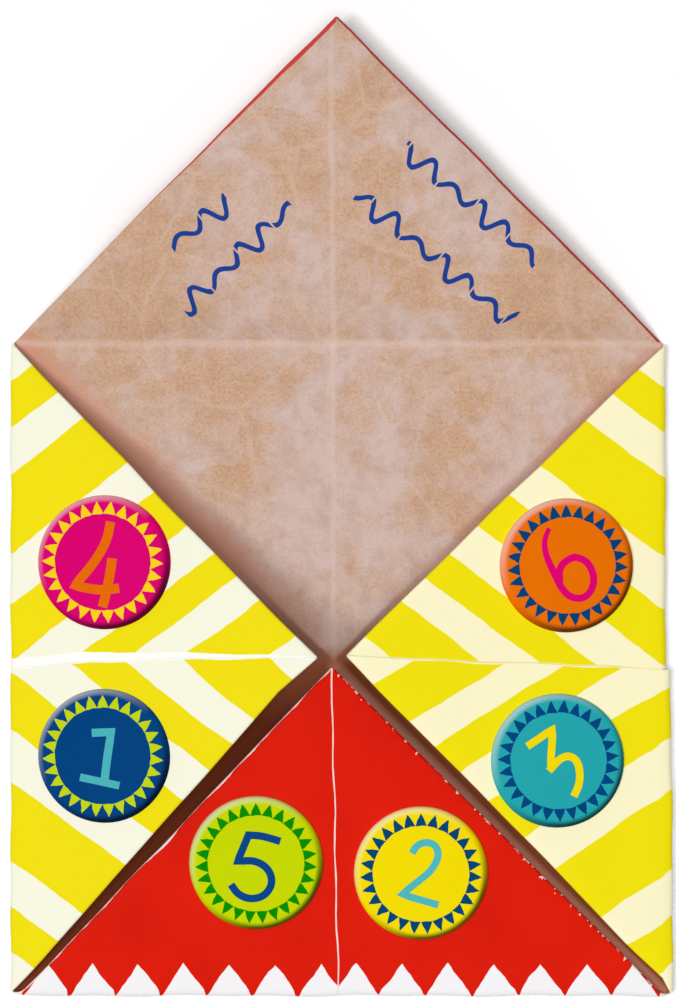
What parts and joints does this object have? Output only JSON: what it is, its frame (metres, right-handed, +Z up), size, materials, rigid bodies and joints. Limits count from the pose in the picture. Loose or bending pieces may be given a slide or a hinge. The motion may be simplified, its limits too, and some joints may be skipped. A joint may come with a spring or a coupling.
{
  "type": "paper fortune teller",
  "caption": "Folded paper fortune teller lying flat, with its top flap opened out, its other flaps sprung up and raised round number stickers on their printed faces.",
  "frame": {"origin": "centre of the folded square, on the surface that it lies on", "axes": "+X to the right and +Y to the opened flap, seen from above; +Z up"},
  "size_m": [0.1, 0.1496, 0.0162],
  "materials": {
    "printed_paper": "matt, printed on one side",
    "sticker_navy": "satin, printed",
    "sticker_yellow": "satin, printed",
    "sticker_teal": "satin, printed",
    "sticker_magenta": "satin, printed",
    "sticker_lime": "satin, printed",
    "sticker_orange": "satin, printed"
  },
  "bodies": {
    "root": {"folded_sheet": "printed_paper", "number_sticker_1": "sticker_navy", "number_sticker_2": "sticker_yellow", "number_sticker_3": "sticker_teal", "number_sticker_4": "sticker_magenta", "number_sticker_5": "sticker_lime", "number_sticker_6": "sticker_orange"}
  },
  "joints": []
}
